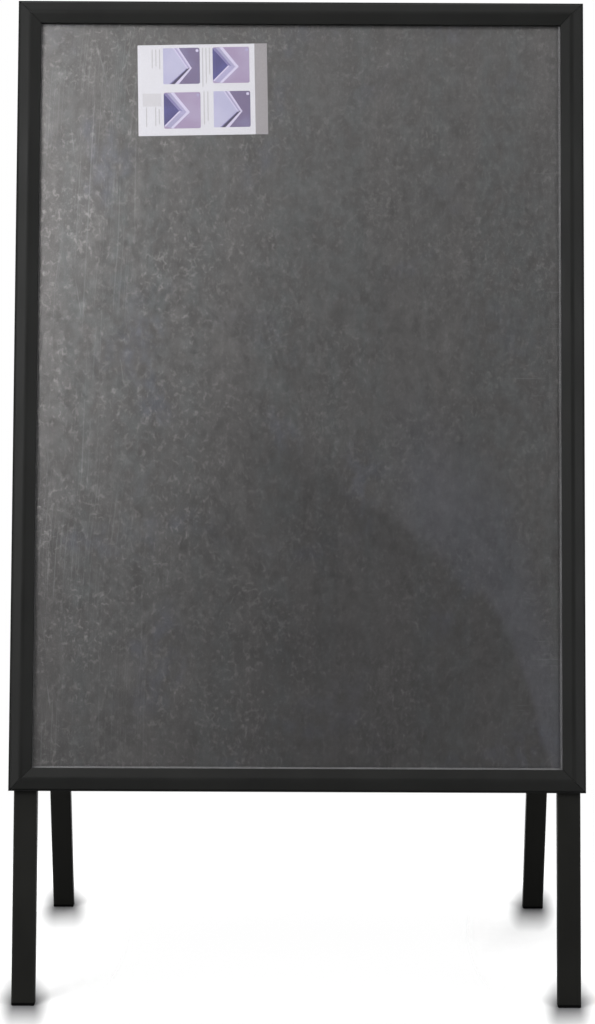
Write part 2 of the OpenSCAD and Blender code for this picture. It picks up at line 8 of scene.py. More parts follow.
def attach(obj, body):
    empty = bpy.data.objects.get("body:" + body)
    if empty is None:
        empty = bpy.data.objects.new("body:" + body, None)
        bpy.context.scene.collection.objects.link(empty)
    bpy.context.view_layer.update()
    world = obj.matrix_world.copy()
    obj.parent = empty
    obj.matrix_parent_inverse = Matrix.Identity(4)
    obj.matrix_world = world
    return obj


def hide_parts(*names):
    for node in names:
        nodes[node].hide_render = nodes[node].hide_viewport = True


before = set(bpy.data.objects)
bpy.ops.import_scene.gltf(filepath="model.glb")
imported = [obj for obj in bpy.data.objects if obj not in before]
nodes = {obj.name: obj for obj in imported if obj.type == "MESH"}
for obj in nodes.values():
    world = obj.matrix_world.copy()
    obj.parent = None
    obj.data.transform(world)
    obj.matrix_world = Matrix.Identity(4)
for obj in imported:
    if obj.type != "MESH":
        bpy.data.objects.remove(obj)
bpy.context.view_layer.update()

# Sizes of the stand, in metres. In a side's own axes x runs along the rails, y towards the back
# and z up from the hinge axis.
LEAN = math.radians(11)
HINGE_Z = 1.069714
OUTER_W, OUTER_H = 0.624, 0.871
RAIL_W = 0.025
FRAME_TOP = 0.008
FRAME_BACK_Y = -0.0192
PANEL_MID_Y = -0.0209
OPENING_W = OUTER_W - 2 * RAIL_W
OPENING_TOP = FRAME_TOP - RAIL_W
OPENING_FOOT = FRAME_TOP - OUTER_H + RAIL_W
FRONT, REAR = 1, -1


def on_front(x, y, z):
    """A point given in the front side's own axes, leaned into place."""
    c, s = math.cos(LEAN), math.sin(LEAN)
    return Vector((x, y * c + z * s, -y * s + z * c + HINGE_Z))


# ---------- colours

def linear(r, g, b):
    """A colour on the screen, 0 to 255, as the linear colour that renders as it."""
    def one(v):
        v /= 255
        return v / 12.92 if v <= 0.04045 else ((v + 0.055) / 1.055) ** 2.4
    return (one(r), one(g), one(b), 1)


def scaled(colour, k):
    return (colour[0] * k, colour[1] * k, colour[2] * k, 1)


BLACK, WHITE = (0, 0, 0, 1), (1, 1, 1, 1)
DUST = (0.30, 0.29, 0.27, 1)
PLATING_COOL, PLATING_WARM = (0.93, 0.97, 1.0, 1), (1.0, 0.97, 0.88, 1)
FILM_TINT = (0.97, 0.974, 0.98, 1)
# the sheet's sheen, and the paler painted highlight along the lips' lit edges
FILM_SHEEN, FILM_HIGHLIGHT = (0.14, 0.14, 0.145, 1), (0.50, 0.50, 0.51, 1)

# The galvanised steel, and the marks on it
STEEL_WARM = linear(113, 110, 108)
STEEL_COOL = linear(108, 109, 108)
STEEL_BLUE = linear(106, 107, 117)
STEEL_LIFT = (1.06, 1.06, 1.06, 1)
PATCH = scaled(STEEL_WARM, 0.845)
STREAK = scaled(STEEL_WARM, 0.70)
STAIN = scaled(STEEL_WARM, 0.74)
CRYSTAL = scaled(STEEL_WARM, 0.4)
PIT = scaled(STEEL_WARM, 0.5)
FLECK = scaled(STEEL_WARM, 2.0)
CURL = scaled(STEEL_WARM, 2.3)
SPARK = scaled(STEEL_COOL, 2.3)
SCRATCH = scaled(STEEL_COOL, 2.2)
# painted reflection: the paler bluish swathe beside the front panel's painted shade
REFLECTION_SWATHE = scaled(STEEL_BLUE, 1.22)


# ---------- node materials

# Nearly all of a noise lies between these values
NOISE_LOW, NOISE_HIGH = 0.3, 0.7


class Nodes:
    """Short calls for building the node tree of a material or the world."""

    def __init__(self, owner, kind="Material", coord="Object"):
        owner.use_nodes = True
        self.owner = owner
        self.tree = owner.node_tree
        self.tree.nodes.clear()
        self.out = self.add("ShaderNodeOutput" + kind)
        self.coord = self.add("ShaderNodeTexCoord").outputs[coord]

    def add(self, kind, **values):
        n = self.tree.nodes.new(kind)
        for key, value in values.items():
            setattr(n, key, value)
        return n

    def put(self, socket, value):
        """Link a socket, or set its value."""
        if isinstance(value, bpy.types.NodeSocket):
            self.tree.links.new(value, socket)
        else:
            socket.default_value = value

    # places

    def upright(self, side):
        """Coordinates in one side's own axes."""
        a = side * LEAN
        level = self.add("ShaderNodeMapping")
        self.put(level.inputs["Vector"], self.coord)
        level.inputs["Rotation"].default_value = (a, 0, 0)
        level.inputs["Location"].default_value = (0, HINGE_Z * math.sin(a), -HINGE_Z * math.cos(a))
        return level.outputs["Vector"]

    def stretch(self, vector, *by):
        """Coordinates multiplied axis by axis, so that marks come out longer one way."""
        return self.vmath("MULTIPLY", vector, by)

    def split(self, vector):
        n = self.add("ShaderNodeSeparateXYZ")
        self.put(n.inputs[0], vector)
        return n.outputs

    def height_as_x(self, vector):
        n = self.add("ShaderNodeCombineXYZ")
        self.put(n.inputs[0], self.split(vector)["Z"])
        return n.outputs[0]

    def facing_up(self):
        """How much a surface faces upwards."""
        return self.split(self.add("ShaderNodeNewGeometry").outputs["Normal"])["Z"]

    # sums

    def math(self, operation, a, b=0.0, clamp=False):
        n = self.add("ShaderNodeMath", operation=operation, use_clamp=clamp)
        self.put(n.inputs[0], a)
        self.put(n.inputs[1], b)
        return n.outputs[0]

    def chain(self, operation, first, *others):
        for value in others:
            first = self.math(operation, first, value)
        return first

    def times(self, *values):
        return self.chain("MULTIPLY", *values)

    def plus(self, *values):
        return self.chain("ADD", *values)

    def minus(self, *values):
        return self.chain("SUBTRACT", *values)

    def most(self, *values):
        return self.chain("MAXIMUM", *values)

    def absolute(self, value):
        return self.math("ABSOLUTE", value)

    def length(self, a, b):
        return self.math("SQRT", self.plus(self.math("POWER", a, 2.0), self.math("POWER", b, 2.0)))

    def vmath(self, operation, a, b=(0, 0, 0), scale=None):
        n = self.add("ShaderNodeVectorMath", operation=operation)
        self.put(n.inputs[0], a)
        self.put(n.inputs[1], b)
        if scale is not None:
            self.put(n.inputs["Scale"], scale)
        return n.outputs[0]

    def off_centre(self, colour, amount):
        """A random colour as a small random step."""
        return self.vmath("SCALE", self.vmath("SUBTRACT", colour, (0.5, 0.5, 0.5)), scale=amount)

    def remap(self, value, low, high, to_low=0.0, to_high=1.0, smooth=False):
        n = self.add("ShaderNodeMapRange", interpolation_type="SMOOTHSTEP" if smooth else "LINEAR")
        for socket, v in zip(n.inputs, (value, low, high, to_low, to_high)):
            self.put(socket, v)
        return n.outputs[0]

    def spread(self, noise, low=0.0, high=1.0):
        """A noise spread over the whole way between two values."""
        return self.remap(noise, NOISE_LOW, NOISE_HIGH, low, high)

    # patterns and colours

    def noise(self, vector, scale, detail=3, rough=0.5, warp=0.0, output="Fac"):
        n = self.add("ShaderNodeTexNoise")
        self.put(n.inputs["Vector"], vector)
        n.inputs["Scale"].default_value = scale
        n.inputs["Detail"].default_value = detail
        n.inputs["Roughness"].default_value = rough
        n.inputs["Distortion"].default_value = warp
        return n.outputs[output]

    def cells(self, vector, scale):
        n = self.add("ShaderNodeTexVoronoi")
        self.put(n.inputs["Vector"], vector)
        n.inputs["Scale"].default_value = scale
        return n.outputs

    def mix(self, factor, a, b, mode="MIX"):
        n = self.add("ShaderNodeMix", data_type="RGBA", blend_type=mode)
        self.put(n.inputs["Factor"], factor)
        self.put(n.inputs["A"], a)
        self.put(n.inputs["B"], b)
        return n.outputs["Result"]

    def clouded(self, noise, colour, dark, pale):
        """A colour that a noise makes darker here and paler there."""
        return self.mix(self.spread(noise), scaled(colour, dark), scaled(colour, pale))

    def mark(self, base, colour, *masks):
        """A colour laid over a base as strongly as the product of the masks."""
        return self.mix(self.times(*masks), base, colour)

    # relief

    def bump(self, height, strength, distance, normal=None):
        n = self.add("ShaderNodeBump")
        self.put(n.inputs["Height"], height)
        n.inputs["Strength"].default_value = strength
        n.inputs["Distance"].default_value = distance
        if normal is not None:
            self.put(n.inputs["Normal"], normal)
        return n.outputs["Normal"]

    def soft_edges(self, radius):
        n = self.add("ShaderNodeBevel", samples=4)
        n.inputs["Radius"].default_value = radius
        return n.outputs["Normal"]

    # shaders

    def surface(self, colour, roughness, metallic=0.0, normal=None, **sockets):
        p = self.add("ShaderNodeBsdfPrincipled")
        self.put(p.inputs["Base Color"], colour)
        self.put(p.inputs["Roughness"], roughness)
        self.put(p.inputs["Metallic"], metallic)
        if normal is not None:
            self.put(p.inputs["Normal"], normal)
        for key, value in sockets.items():
            self.put(p.inputs[key.replace("_", " ")], value)
        return p.outputs["BSDF"]

    def simple(self, kind, colour):
        """A shader that only needs a colour."""
        n = self.add("ShaderNode" + kind)
        self.put(n.inputs["Color"], colour)
        return n.outputs[0]

    def blend(self, share, first, second):
        n = self.add("ShaderNodeMixShader")
        for socket, value in zip(n.inputs, (share, first, second)):
            self.put(socket, value)
        return n.outputs["Shader"]

    def finish(self, shader):
        self.put(self.out.inputs["Surface"], shader)
        return self.owner


def new_material(name):
    return Nodes(bpy.data.materials.new(name))


def coated(name, colour, rough, grain=1900, dust=0.012):
    """Satin powder coat: orange peel, cloudy gloss, rubbed edges and a little dust."""
    g = new_material(name)
    cloud = g.noise(g.coord, 11, 4)
    smear = g.noise(g.stretch(g.coord, 60, 60, 7), 1)
    peel = g.noise(g.coord, grain, 2)
    base = g.clouded(cloud, colour, 0.86, 1.15)
    specks = g.remap(g.noise(g.coord, 700, 1), 0.72, 0.8, 0, 0.35)
    base = g.mark(base, scaled(colour, 2.2), specks)
    # dust settles on what faces up
    patchy = g.remap(g.noise(g.coord, 45, 5, 0.6), 0.35, 0.7, 0.3, 1)
    base = g.mark(base, DUST, g.remap(g.facing_up(), 0.25, 1.0, 0, dust), patchy)
    roughness = g.plus(
        g.remap(smear, 0.25, 0.75, -0.05, 0.06), g.spread(cloud, rough - 0.03, rough + 0.03)
    )
    normal = g.bump(peel, 0.22, 0.00006, g.soft_edges(0.0003))
    return g.finish(g.surface(base, roughness, normal=normal, Specular_IOR_Level=0.08))


def zinc(name, colour, rough, brushed=0.0):
    """Plated or plain metal with cloudy gloss and fine wear."""
    g = new_material(name)
    fine = g.noise(g.stretch(g.coord, 1, 1, 1 - 0.9 * brushed), 1400)
    base = g.clouded(g.noise(g.coord, 90, 4), colour, 0.85, 1.1)
    hue = g.mix(g.remap(g.noise(g.coord, 160, 2), 0.35, 0.65), PLATING_COOL, PLATING_WARM)
    base = g.mix(0.25, base, g.mix(1.0, base, hue, "MULTIPLY"))
    roughness = g.spread(fine, rough - 0.06, rough + 0.08)
    normal = g.bump(fine, 0.12, 0.00004, g.soft_edges(0.0002))
    return g.finish(g.surface(base, roughness, 1.0, normal))


def plastic(name, colour, rough):
    """Moulded plastic with a fine spark-eroded grain."""
    g = new_material(name)
    cloud = g.noise(g.coord, 40)
    base = g.clouded(cloud, colour, 0.8, 1.25)
    roughness = g.spread(cloud, rough - 0.05, rough + 0.08)
    normal = g.bump(g.noise(g.coord, 1500), 0.3, 0.0001, g.soft_edges(0.0004))
    return g.finish(g.surface(base, roughness, normal=normal, Specular_IOR_Level=0.04))


def ink(name, colour, to=None):
    """Coated card or ink on it; a second colour gives a soft blend across the print."""
    g = new_material(name)
    fibre = g.noise(g.coord, 900)
    tone = g.clouded(fibre, colour, 0.95, 1.04)
    if to:
        tone = g.mix(g.remap(g.noise(g.coord, 30, 2), 0.35, 0.65, smooth=True), tone, to)
    return g.finish(g.surface(tone, g.spread(fibre, 0.32, 0.40)))


# ---------- the galvanised back panels

# The front panel's painted shade, a darker lower middle: its border falls at a slope, and faster
# past a bend
BORDER_Z, BORDER_SLOPE = -0.490, 0.80
BEND_X, BEND_RATE = 0.19, 18.0
BORDER_WAVER = 0.004
# Either side of the panel's middle plane, which parts its outer face from its back
MID_GAP = 0.0001

# The long scratches: distance from the middle at the upper end, drift for each metre of height,
# heights of the upper and lower end, and strength
LONG_SCRATCHES = (
    (-0.2270, 0.042, -0.090, -0.370, 1.0),
    (-0.2415, 0.040, -0.150, -0.300, 0.6),
    (-0.1810, 0.006, -0.100, -0.270, 0.8),
    (-0.2295, -0.281, -0.026, -0.095, 0.8),
    (-0.1830, 0.246, -0.018, -0.085, 0.6),
)
# Half their width, without and with their soft edge, and the length over which an end fades
SCRATCH_CORE, SCRATCH_EDGE = 0.0003, 0.0010
SCRATCH_FADE = 0.03


def spangles(g, plain):
    """The zinc's crystals, and masks of the marks on them."""
    # the marks are bent a little out of line before they are drawn
    bent = g.vmath("ADD", plain, g.off_centre(g.noise(plain, 110, output="Color"), 0.005))
    crystals = g.cells(g.stretch(bent, 1, 1, 0.55), 210)["Color"]
    small = g.cells(g.stretch(bent, 1.25, 1, 0.5), 360)
    bright = g.remap(g.split(small["Color"])["X"], 0.84, 0.98)
    cluster = g.remap(g.noise(plain, 12), 0.38, 0.64, 0.42, 1.0)
    feather = g.noise(g.stretch(bent, 1.35, 1, 0.8), 190, 4, 0.62)
    swirl = g.noise(g.stretch(bent, 1.2, 1, 0.8), 105, 2)
    # frost-like curls are thin contours of a soft noise, broken up by a second one
    curls = g.remap(g.absolute(g.minus(swirl, 0.5)), 0.085, 0.0, smooth=True)
    return crystals, {
        "curls": g.times(curls, g.remap(g.noise(plain, 150, 2), 0.48, 0.66), cluster),
        "flecks": g.times(g.remap(feather, 0.56, 0.72), cluster),
        "pits": g.times(g.remap(feather, 0.42, 0.28), cluster),
        "sparks": g.times(g.remap(small["Distance"], 0.42, 0.10), bright),
    }


def painted_shade_corner(g, base, place, bluish):
    """Painted shade over a darker lower middle; its border bends down, with a painted reflection, a
    paler bluish swathe, beside it.
    """
    x = place["X"]
    past = g.most(g.minus(x, BEND_X), 0.0)
    bend = g.times(g.times(past, past), BEND_RATE)
    waver = g.remap(bluish, 0.0, 1.0, -BORDER_WAVER, BORDER_WAVER)
    above = g.plus(place["Z"], g.times(x, BORDER_SLOPE), -BORDER_Z, bend, waver)
    # the border is softer towards the worn edge
    soft = g.times(above, g.remap(x, -0.05, 0.07, 0.28, 1.0))
    outer_face = g.remap(place["Y"], PANEL_MID_Y + MID_GAP, PANEL_MID_Y - MID_GAP)
    # painted shade: below the border the lower middle is darkened towards black
    base = g.mark(
        base, BLACK, g.remap(soft, 0.016, -0.014, smooth=True),
        g.remap(x, -0.18, 0.03, smooth=True), g.remap(x, 0.10, 0.22, 0.25, 0.18), outer_face,
    )
    # painted reflection: a paler bluish swathe just above the border
    return g.mark(
        base, REFLECTION_SWATHE, g.remap(above, -0.012, 0.022, smooth=True),
        g.remap(above, 0.20, 0.05, smooth=True), g.remap(x, 0.08, 0.15, smooth=True),
        outer_face, 0.34,
    )


def scratched(g, plain, place, side):
    """Mask of the scratches and rubs left by sheets that were slid in and out."""
    across = g.times(place["X"], side)
    from_worn = g.times(place["X"], -side)

    def tilted(slope):
        return g.vmath("ADD", plain, g.stretch(g.height_as_x(plain), slope * side, 0, 0))

    wander = g.times(g.noise(g.stretch(plain, 3, 1, 2.2), 1, 2), 0.05)
    slant = g.vmath("ADD", tilted(-0.05), g.vmath("SCALE", (1, 0, 0), scale=wander))
    lines = g.noise(g.stretch(slant, 420, 1, 2.6), 1, 1, 0.3)
    fine = g.noise(g.stretch(slant, 850, 1, 4.5), 1, 1, 0.3)
    short = g.noise(g.stretch(tilted(0.16), 420, 1, 11), 1, 1, 0.3)
    broken = g.noise(g.stretch(plain, 26, 1, 9), 1)
    marks = g.most(
        g.times(g.remap(lines, 0.65, 0.71), g.remap(broken, 0.45, 0.60, 0.0, 0.7)),
        g.times(g.remap(fine, 0.60, 0.68), g.remap(broken, 0.40, 0.55, 0.0, 0.6)),
        g.times(g.remap(short, 0.72, 0.76), g.remap(broken, 0.52, 0.42, 0.0, 0.7)),
    )
    # they are thickest near the worn edge
    marks = g.times(marks, g.plus(g.remap(from_worn, 0.11, 0.25, smooth=True), 0.10))
    for x, drift, top, foot, strength in LONG_SCRATCHES:
        off = g.absolute(g.minus(across, g.times(place["Z"], drift), x - drift * top))
        half = (top - foot) / 2
        along = g.absolute(g.minus(place["Z"], (top + foot) / 2))
        line = g.times(
            g.remap(off, SCRATCH_EDGE, SCRATCH_CORE), g.remap(along, half, half - SCRATCH_FADE),
            g.remap(broken, 0.36, 0.56, 0.4 * strength, strength),
        )
        marks = g.most(marks, line)
    # short level rubs lie by the other edge
    rubs = g.noise(g.stretch(plain, 9, 1, 430), 1, 1, 0.3)
    rubs = g.times(
        g.remap(rubs, 0.68, 0.74), g.remap(broken, 0.50, 0.42, 0.0, 0.6),
        g.remap(across, 0.15, 0.26, smooth=True),
    )
    return g.most(marks, rubs)


def galvanised(name, side):
    """Hot-dip galvanised sheet: feathered spangles, rolling streaks, stains and scratches, and on
    the front a painted shade and a painted reflection.
    """
    g = new_material(name)
    plain = g.upright(side)
    place = g.split(plain)
    crystals, on_them = spangles(g, plain)
    tone = g.split(crystals)
    patches = g.noise(g.stretch(plain, 1.2, 1, 0.8), 55, 3, 0.55)
    streaks = g.noise(g.stretch(plain, 300, 1, 13), 1, 3, 0.6)
    bands = g.noise(g.stretch(plain, 24, 1, 1.6), 1, 2)
    stains = g.noise(plain, 7, 3, 0.55, 0.5)
    bluish = g.remap(g.noise(plain, 9, 3, 0.5, 0.3), 0.54, 0.68, smooth=True)
    # the edge that sheets are slid in by is the most worn
    worn = g.remap(g.times(place["X"], -side), -0.05, 0.24, 0.26, 0.56, smooth=True)
    steel = g.mix(g.remap(bands, 0.36, 0.64, smooth=True), STEEL_WARM, STEEL_COOL)
    steel = g.mark(steel, STEEL_BLUE, bluish, 0.6)
    steel = g.mix(1.0, steel, STEEL_LIFT, "MULTIPLY")
    base = g.mix(g.remap(patches, 0.36, 0.64), PATCH, steel)
    base = g.mark(base, STREAK, g.remap(streaks, 0.30, 0.70, 0.0, 0.20))
    base = g.mark(base, STAIN, g.remap(stains, 0.36, 0.66, 0.0, 0.28, smooth=True))
    base = g.mark(base, CRYSTAL, g.remap(tone["X"], 0.0, 1.0, 0.10, 0.0))
    base = g.mark(base, FLECK, on_them["flecks"], 0.42)
    base = g.mark(base, CURL, on_them["curls"], worn)
    base = g.mark(base, SPARK, on_them["sparks"], 0.22)
    base = g.mark(base, PIT, on_them["pits"], 0.34)
    # painted shade and a painted reflection on the front panel's lower middle
    if side == FRONT:
        base = painted_shade_corner(g, base, place, bluish)
    base = g.mark(base, SCRATCH, scratched(g, plain, place, side), 0.36)
    roughness = g.plus(
        g.remap(tone["Y"], 0, 1, 0.38, 0.44), g.remap(stains, 0.35, 0.7, -0.03, 0.04)
    )
    # each crystal leans its own way, so it catches the light by itself
    flat = g.add("ShaderNodeNewGeometry").outputs["Normal"]
    facet = g.vmath("NORMALIZE", g.vmath("ADD", flat, g.off_centre(crystals, 0.05)))
    return g.finish(g.surface(base, roughness, 1.0, g.bump(streaks, 0.05, 0.0004, facet)))


# ---------- the clear sheets

# The painted highlight where the lips' edges catch the light, drawn as a pale line on a sheet: how
# far inside the opening's edges it starts and how far inside it is full, in metres. It is faintest
# on the left.
HIGHLIGHT_RIGHT, HIGHLIGHT_LEFT, HIGHLIGHT_FOOT = (0.0026, 0.0020), (0.0014, 0.0008), (0.0023, 0.0017)
HIGHLIGHT_LEFT_STRENGTH = 0.55


def clear_film(name, side):
    """Clear anti-glare sheet: light passes, a soft sheen stays, and a painted highlight of the lit
    lip edges shows as a pale line.
    """
    g = new_material(name)
    plain = g.upright(side)
    place = g.split(plain)
    half = OPENING_W / 2
    right = (side * (half - inside) for inside in HIGHLIGHT_RIGHT)
    left = (-side * (half - inside) for inside in HIGHLIGHT_LEFT)
    foot = (OPENING_FOOT + inside for inside in HIGHLIGHT_FOOT)
    # painted highlight: a pale line inside the right, left and lower lips, none at the top
    line = g.most(
        g.remap(place["X"], *right), g.remap(place["X"], *left, 0, HIGHLIGHT_LEFT_STRENGTH),
        g.remap(place["Z"], *foot),
    )
    line = g.times(line, g.spread(g.noise(plain, 30), 0.75, 1.0))
    sheen = g.surface(
        g.mix(line, FILM_SHEEN, FILM_HIGHLIGHT), g.spread(g.noise(plain, 5), 0.22, 0.32),
        normal=g.bump(g.noise(plain, 2200, 2), 0.05, 0.00003), IOR=1.55,
    )
    view = g.add("ShaderNodeLayerWeight")
    view.inputs["Blend"].default_value = 0.25
    share = g.remap(view.outputs["Fresnel"], 0.0, 1.0, 0.035, 0.8)
    # the painted highlight also lets more of the sheen show
    share = g.math("ADD", share, g.times(line, 0.14), clamp=True)
    return g.finish(g.blend(share, g.simple("BsdfTransparent", FILM_TINT), sheen))


# ---------- what each node is made of

RAIL = coated("RailCoat", (0.0080, 0.0082, 0.0078, 1), 0.45)
BASE_RAIL = coated("BaseRailCoat", (0.0060, 0.0061, 0.0059, 1), 0.50)
LEG = coated("LegPaint", (0.0066, 0.0066, 0.0058, 1), 0.48, grain=1300, dust=0.02)
BAR = coated("BarPaint", (0.012, 0.012, 0.012, 1), 0.45, grain=1300, dust=0.03)
BLACK_PLASTIC = plastic("BlackPlastic", (0.0010, 0.0010, 0.0011, 1), 0.7)
NYLON = plastic("WhiteNylon", (0.72, 0.72, 0.69, 1), 0.45)
ZINC = zinc("ZincPlate", (0.60, 0.61, 0.63, 1), 0.30)
SPRING = zinc("SpringSteel", (0.50, 0.51, 0.53, 1), 0.26, brushed=1.0)
RIVET = zinc("RivetAluminium", (0.66, 0.67, 0.68, 1), 0.36)

# a node takes the first finish whose words its name holds
FINISH = (
    ("front_back_panel", galvanised("GalvanisedFront", FRONT)),
    ("rear_back_panel", galvanised("GalvanisedRear", REAR)),
    ("front_clear_sheet", clear_film("ClearFilmFront", FRONT)),
    ("rear_clear_sheet", clear_film("ClearFilmRear", REAR)),
    ("_cover_", RAIL), ("_base_", BASE_RAIL), ("corner_keys", ZINC), ("leaf_springs", SPRING),
    ("_leg_", LEG), ("_foot_", BLACK_PLASTIC), ("top_caps", BLACK_PLASTIC), ("frame_rivets", RIVET),
    ("hinge_rivets", RIVET), ("hinge_leaf", BAR), ("hinge_pin", ZINC), ("stay_washers", NYLON),
    ("stay_stud", ZINC), ("stay_pivot", ZINC), ("stay_left", BAR), ("stay_right", BAR),
)

for name, obj in nodes.items():
    for words, material in FINISH:
        if words in name:
            obj.data.materials.clear()
            obj.data.materials.append(material)
            break


# ---------- the loose leaflet: a card with plain printed shapes and no lettering

# The card's size and place, in metres
CARD_W, CARD_H, CARD_T = 0.143, 0.102, 0.0003
CARD_X = 0.179 - OPENING_W / 2
CARD_Z = OPENING_TOP - 0.073
CARD_BACK_Y = FRAME_BACK_Y - 0.002125
CARD_FACE_Y = CARD_BACK_Y - CARD_T
CARD_TURN = math.radians(1.25)
INK_STEP = 0.000012
CORNER_STEPS = 5

# What is printed on it, in millimetres from its upper left corner
CARD_R = 0.6
BAND_W = 13.9
PICTURE_W, PICTURE_R = 40.6, 2.0
BLOCK = (5, 54.5, 25.5, 69)
RULE_W = 1.1
RULES = (
    (15.5, 5, 26), (19.6, 5, 24), (23.7, 5, 27), (71.2, 4, 48), (75.0, 4, 44), (78.8, 4, 34),
    (72.2, 53, 90), (76.4, 53, 86), (8.5, 70, 92), (18.6, 70, 91), (22.5, 72, 89),
)

INKS = {
    "white": ((226, 223, 227), None),
    "band": ((163, 157, 158), None),
    "mauve": ((176, 160, 188), (168, 148, 178)),
    "slate": ((132, 122, 156), (122, 108, 140)),
    "blue": ((92, 88, 146), (84, 78, 128)),
    "pale": ((196, 192, 217), (188, 184, 212)),
    "shade": ((146, 138, 182), (134, 124, 168)),
    "mid": ((180, 172, 206), (172, 166, 196)),
    "light": ((216, 207, 230), None),
    "dark": ((72, 64, 92), None),
    "line": ((196, 192, 194), None),
    "block": ((213, 209, 212), None),
}

# A pictured frame corner, in shares of the picture's width: its field and dot, the sheet, and the
# two arms, each with its inner edge, its outer edge and how far across each strip reaches
CLOSED = {
    "field": "mauve", "dot": "mid",
    "sheet": ("blue", ((0, 0.03), (0.415, 0.515), (0, 0.93))),
    "arms": (
        (((0, 0.03), (0.415, 0.515)), ((0.28, 0), (0.71, 0.55)),
         (("shade", 0.32), ("mid", 0.66), ("light", 1))),
        (((0, 0.93), (0.415, 0.515)), ((0.25, 1), (0.71, 0.55)),
         (("light", 0.16), ("mid", 0.72), ("light", 1))),
    ),
}
OPENED = {
    "field": "slate", "dot": "light",
    "sheet": ("pale", ((0, 0), (0.27, 0), (0.66, 0.57), (0.16, 1), (0, 1))),
    "arms": (
        (((0.27, 0), (0.66, 0.585)), ((0.43, 0), (0.78, 0.56)),
         (("light", 0.22), ("mid", 0.6), ("light", 1))),
        (((0.16, 1), (0.655, 0.555)), ((0.42, 1), (0.79, 0.555)),
         (("shade", 0.16), ("dark", 0.58), ("light", 1))),
    ),
}
DOT_U, DOT_V, DOT_R, DOT_SIDES = 0.93, 0.08, 0.04, 16
PICTURES = ((28.0, 3.6, OPENED), (82.8, 3.4, CLOSED), (28.2, 53.6, CLOSED), (83.2, 53.0, OPENED))


def on_card(u, v, layer=0):
    """A point over the card's face, u to the right and v down from its corner, in millimetres."""
    x, z = u / 1000 - CARD_W / 2, CARD_H / 2 - v / 1000
    c, s = math.cos(CARD_TURN), math.sin(CARD_TURN)
    return on_front(CARD_X + x * c - z * s, CARD_FACE_Y - layer * INK_STEP, CARD_Z + x * s + z * c)


def box(u0, v0, u1, v1):
    return [(u0, v0), (u1, v0), (u1, v1), (u0, v1)]


def rounded(u0, v0, u1, v1, r):
    """Corner points of a rounded rectangle."""
    points = []
    left, top, right, foot = u0 + r, v0 + r, u1 - r, v1 - r
    for u, v, start in ((right, top, -90), (right, foot, 0), (left, foot, 90), (left, top, 180)):
        for i in range(CORNER_STEPS + 1):
            a = math.radians(start + 90 * i / CORNER_STEPS)
            points.append((u + r * math.cos(a), v + r * math.sin(a)))
    return points


class Print:
    """The card's mesh, made one flat shape at a time."""

    def __init__(self):
        self.bm = bmesh.new()
        self.inks = list(INKS)

    def face(self, points, layer, name):
        """A flat shape that faces out of the card, so many ink steps over it."""
        f = self.bm.faces.new([self.bm.verts.new(on_card(u, v, layer)) for u, v in points])
        f.normal_update()
        if f.normal.y > 0:
            f.normal_flip()
        f.material_index = self.inks.index(name)

    def slab(self, ring, back):
        self.face(ring, 0, "white")
        self.face(ring, -back, "white")
        for i, a in enumerate(ring):
            b = ring[(i + 1) % len(ring)]
            wall = [on_card(*a), on_card(*b), on_card(*b, -back), on_card(*a, -back)]
            self.bm.faces.new([self.bm.verts.new(p) for p in wall]).material_index = 0

    def picture(self, u0, v0, drawn):
        def at(p):
            return (u0 + PICTURE_W * p[0], v0 + PICTURE_W * p[1])

        def between(a, b, t):
            return tuple(a[k] + (b[k] - a[k]) * t for k in (0, 1))

        self.face(rounded(u0, v0, u0 + PICTURE_W, v0 + PICTURE_W, PICTURE_R), 1, drawn["field"])
        name, corners = drawn["sheet"]
        self.face([at(p) for p in corners], 2, name)
        for inner, outer, strips in drawn["arms"]:
            t0 = 0
            for name, t1 in strips:
                ends = ((0, t0), (1, t0), (1, t1), (0, t1))
                self.face([at(between(inner[end], outer[end], t)) for end, t in ends], 3, name)
                t0 = t1
        turns = [i * math.pi / (DOT_SIDES / 2) for i in range(DOT_SIDES)]
        dot = [(DOT_U + DOT_R * math.cos(a), DOT_V + DOT_R * math.sin(a)) for a in turns]
        self.face([at(p) for p in dot], 4, drawn["dot"])

    def finish(self, name):
        mesh = bpy.data.meshes.new(name)
        self.bm.to_mesh(mesh)
        self.bm.free()
        for title, screen_colours in INKS.items():
            colours = [linear(*colour) for colour in screen_colours if colour]
            mesh.materials.append(ink("Ink" + title.capitalize(), *colours))
        obj = bpy.data.objects.new(name, mesh)
        bpy.context.scene.collection.objects.link(obj)
        return obj


def leaflet():
    card = Print()
    w, h = CARD_W * 1000, CARD_H * 1000
    card.slab(rounded(0, 0, w, h, CARD_R), CARD_T / INK_STEP)
    card.face(box(w - BAND_W, 0, w, h), 1, "band")
    # plain pictures of a frame corner, opened and closed
    for u, v, drawn in PICTURES:
        card.picture(u, v, drawn)
    # a pale block and plain grey rules beside them
    card.face(box(*BLOCK), 1, "block")
    for u, v0, v1 in RULES:
        card.face(box(u, v0, u + RULE_W, v1), 2, "line")
    obj = card.finish("leaflet_print")
    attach(obj, "front_side")
    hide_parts("front_leaflet")


leaflet()


# ---------- floor and room

FLOOR_HALF = 3.0
WALL_HALF, WALL_Y, WALL_TOP = 6, -5, 3.5
# The middle and half size of a foot's sole; how far its shadow reaches past it and slants
FOOT_X, FOOT_Y = 0.29425, 0.2198
SOLE_X, SOLE_Y = 0.0105, 0.0060
SHADOW_X, SHADOW_Y = 0.020, 0.120
SHADOW_SLANT = 0.106
